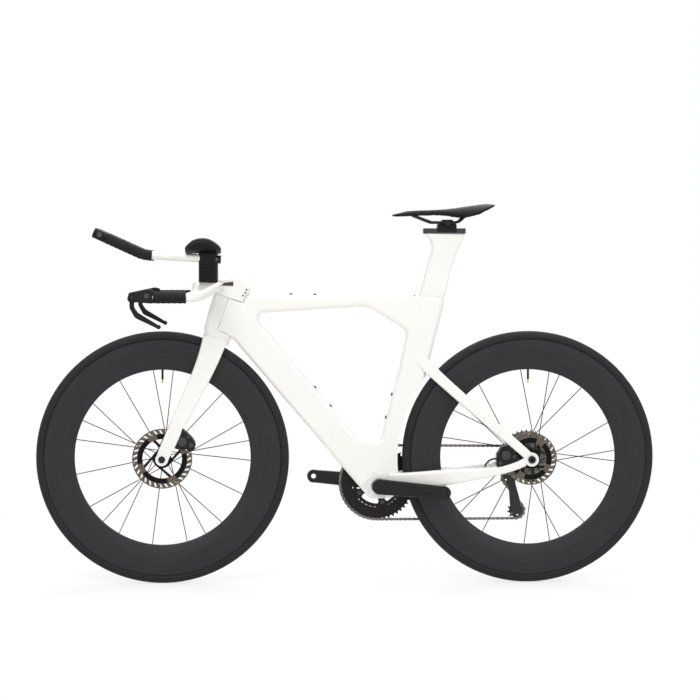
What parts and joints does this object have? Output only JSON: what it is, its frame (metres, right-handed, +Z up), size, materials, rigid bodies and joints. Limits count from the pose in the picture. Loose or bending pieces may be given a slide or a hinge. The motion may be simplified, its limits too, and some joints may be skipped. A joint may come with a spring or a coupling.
{
  "type": "bicycle",
  "caption": "White time trial bicycle with deep black rims, disc brakes, base bar with raised arm rests and extensions, slim aero frame and no pedals",
  "frame": {"origin": "on the ground under the middle of the wheelbase, in the bicycle's mid plane", "axes": "+X to the rear, +Y to the rider's right (drive side), +Z up"},
  "size_m": [1.6599, 0.4016, 1.0194],
  "materials": {
    "white_gloss": "glossy paint over carbon",
    "black_satin": "satin black",
    "black_rim": "satin carbon",
    "tyre_black": "matt rubber",
    "soft_black": "matt foam and cloth",
    "spoke_black": "black anodised",
    "steel": "brushed",
    "ring_dark": "black anodised",
    "alloy": "satin",
    "button_grey": "moulded",
    "pad_grey": "pressed friction material"
  },
  "bodies": {
    "frame_body": {"frame": "white_gloss", "frame_screws": "steel", "headset_bearings": "steel", "bottom_bracket": "alloy", "seatpost_wedge": "alloy", "rear_caliper": "black_satin", "rear_axle": "steel", "derailleur_upper_knuckle": "black_satin", "front_derailleur": "black_satin", "chain": "steel"},
    "front_end": {"fork": "white_gloss", "base_bar": "white_gloss", "stem_cover": "white_gloss", "bar_tape": "black_satin", "lever_hoods": "black_satin", "riser_spacers": "black_satin", "armrest_cups": "black_satin", "arm_pads": "soft_black", "cockpit_screws": "steel", "front_caliper": "black_satin", "front_axle": "steel", "extensions": "white_gloss", "extension_tape": "soft_black", "extension_pods": "black_satin"},
    "front_wheel": {"front_hub": "black_satin", "front_rim": "black_rim", "front_tyre": "tyre_black", "front_spokes": "spoke_black", "front_rotor": "steel"},
    "rear_wheel": {"rear_hub": "black_satin", "rear_rim": "black_rim", "rear_tyre": "tyre_black", "rear_spokes": "spoke_black", "rear_rotor": "steel"},
    "crankset": {"crank_right": "black_satin", "crank_left": "black_satin", "chainrings": "ring_dark", "chainring_bolts": "steel"},
    "cassette_body": {"cassette": "steel"},
    "derailleur_outer": {"derailleur_outer_link": "black_satin"},
    "derailleur_inner": {"derailleur_inner_link": "black_satin"},
    "derailleur_lower": {"derailleur_lower_knuckle": "black_satin"},
    "cage": {"derailleur_cage": "steel"},
    "guide_wheel": {"guide_pulley": "button_grey"},
    "tension_wheel": {"tension_pulley": "button_grey"},
    "shift_cage": {"front_derailleur_cage": "steel"},
    "lever_left": {"brake_lever_left": "black_satin"},
    "lever_right": {"brake_lever_right": "black_satin"},
    "pad_front_left": {"front_pad_left": "pad_grey"},
    "pad_front_right": {"front_pad_right": "pad_grey"},
    "pad_rear_left": {"rear_pad_left": "pad_grey"},
    "pad_rear_right": {"rear_pad_right": "pad_grey"},
    "button_bar_left": {"bar_button_left": "button_grey"},
    "button_bar_right": {"bar_button_right": "button_grey"},
    "button_extension_left": {"extension_button_left": "button_grey"},
    "button_extension_right": {"extension_button_right": "button_grey"},
    "post": {"seatpost": "white_gloss"},
    "carriage": {"saddle_clamp": "black_satin"},
    "seat": {"saddle_rails": "spoke_black", "saddle": "soft_black"}
  },
  "joints": [
    {"name": "steering", "type": "hinge", "parent": "frame_body", "child": "front_end", "pos_m": [-0.30852, 0, 0.7174], "axis": [0.3338, 0, 0.9426], "range_deg": [-35, 35]},
    {"name": "front_wheel_spin", "type": "hinge", "parent": "front_end", "child": "front_wheel", "pos_m": [-0.491, 0, 0.339], "axis": [0, -1, 0], "continuous": true},
    {"name": "rear_wheel_spin", "type": "hinge", "parent": "frame_body", "child": "rear_wheel", "pos_m": [0.491, 0, 0.339], "axis": [0, -1, 0], "continuous": true},
    {"name": "crank_spin", "type": "hinge", "parent": "frame_body", "child": "crankset", "pos_m": [0.08773, 0, 0.265], "axis": [0, -1, 0], "continuous": true, "deforming": ["chain"]},
    {"name": "cassette_spin", "type": "hinge", "parent": "frame_body", "child": "cassette_body", "pos_m": [0.491, 0, 0.339], "axis": [0, -1, 0], "continuous": true},
    {"name": "derailleur_shift", "type": "hinge", "parent": "frame_body", "child": "derailleur_outer", "pos_m": [0.506, 0.07281, 0.28281], "axis": [0, -0.7071, 0.7071], "range_deg": [0, 65], "deforming": ["chain"]},
    {"name": "derailleur_inner_swing", "type": "hinge", "parent": "frame_body", "child": "derailleur_inner", "pos_m": [0.506, 0.06291, 0.27291], "axis": [0, -0.7071, 0.7071], "range_deg": [0, 65]},
    {"name": "derailleur_lower_swing", "type": "hinge", "parent": "derailleur_outer", "child": "derailleur_lower", "pos_m": [0.464, 0.0919, 0.3019], "axis": [0, -0.7071, 0.7071], "range_deg": [-65, 0]},
    {"name": "cage_swing", "type": "hinge", "parent": "derailleur_lower", "child": "cage", "pos_m": [0.452, 0.064, 0.277], "axis": [0, -1, 0], "range_deg": [-20, 38], "stiffness_Nm_per_rad": 1.2, "deforming": ["chain"]},
    {"name": "guide_pulley_spin", "type": "hinge", "parent": "cage", "child": "guide_wheel", "pos_m": [0.452, 0.064, 0.277], "axis": [0, -1, 0], "continuous": true},
    {"name": "tension_pulley_spin", "type": "hinge", "parent": "cage", "child": "tension_wheel", "pos_m": [0.46957, 0.064, 0.18568], "axis": [0, -1, 0], "continuous": true},
    {"name": "front_derailleur_shift", "type": "hinge", "parent": "frame_body", "child": "shift_cage", "pos_m": [0.12, 0.04, 0.394], "axis": [-1, 0, 0], "range_deg": [0, 12], "deforming": ["chain"]},
    {"name": "brake_lever_left_pull", "type": "hinge", "parent": "front_end", "child": "lever_left", "pos_m": [-0.56, -0.185, 0.7715], "axis": [0, -1, 0], "range_deg": [0, 20], "stiffness_Nm_per_rad": 0.8},
    {"name": "brake_lever_right_pull", "type": "hinge", "parent": "front_end", "child": "lever_right", "pos_m": [-0.56, 0.185, 0.7715], "axis": [0, -1, 0], "range_deg": [0, 20], "stiffness_Nm_per_rad": 0.8},
    {"name": "front_pad_left_slide", "type": "slide", "parent": "front_end", "child": "pad_front_left", "axis": [0, 1, 0], "range_m": [0, 0.0003]},
    {"name": "front_pad_right_slide", "type": "slide", "parent": "front_end", "child": "pad_front_right", "axis": [0, -1, 0], "range_m": [0, 0.0003]},
    {"name": "rear_pad_left_slide", "type": "slide", "parent": "frame_body", "child": "pad_rear_left", "axis": [0, 1, 0], "range_m": [0, 0.0003]},
    {"name": "rear_pad_right_slide", "type": "slide", "parent": "frame_body", "child": "pad_rear_right", "axis": [0, -1, 0], "range_m": [0, 0.0003]},
    {"name": "bar_button_left_press", "type": "slide", "parent": "front_end", "child": "button_bar_left", "axis": [0, 1, 0], "range_m": [0, 0.0012], "stiffness_N_per_m": 400},
    {"name": "bar_button_right_press", "type": "slide", "parent": "front_end", "child": "button_bar_right", "axis": [0, -1, 0], "range_m": [0, 0.0012], "stiffness_N_per_m": 400},
    {"name": "extension_button_left_press", "type": "slide", "parent": "front_end", "child": "button_extension_left", "axis": [0, 1, 0], "range_m": [0, 0.0012], "stiffness_N_per_m": 400},
    {"name": "extension_button_right_press", "type": "slide", "parent": "front_end", "child": "button_extension_right", "axis": [0, -1, 0], "range_m": [0, 0.0012], "stiffness_N_per_m": 400},
    {"name": "seatpost_slide", "type": "slide", "parent": "frame_body", "child": "post", "axis": [0.2538, 0, 0.9673], "range_m": [-0.05, 0.05]},
    {"name": "saddle_slide", "type": "slide", "parent": "post", "child": "carriage", "axis": [1, 0, 0], "range_m": [-0.02, 0.02]},
    {"name": "saddle_tilt", "type": "hinge", "parent": "carriage", "child": "seat", "pos_m": [0.2702, 0, 0.966], "axis": [0, -1, 0], "range_deg": [-8, 8]}
  ],
  "couplings": [
    {"joint": "cassette_spin", "follows": "crank_spin", "ratio": 4.5455},
    {"joint": "tension_pulley_spin", "follows": "crank_spin", "ratio": 4.5455},
    {"joint": "guide_pulley_spin", "follows": "crank_spin", "ratio": -4.5455},
    {"joint": "derailleur_inner_swing", "follows": "derailleur_shift", "ratio": 1},
    {"joint": "derailleur_lower_swing", "follows": "derailleur_shift", "ratio": -1},
    {"joint": "front_pad_left_slide", "follows": "brake_lever_left_pull", "m_per_rad": 0.00085084},
    {"joint": "front_pad_right_slide", "follows": "brake_lever_left_pull", "m_per_rad": 0.00085084},
    {"joint": "rear_pad_left_slide", "follows": "brake_lever_right_pull", "m_per_rad": 0.00085084},
    {"joint": "rear_pad_right_slide", "follows": "brake_lever_right_pull", "m_per_rad": 0.00085084}
  ]
}
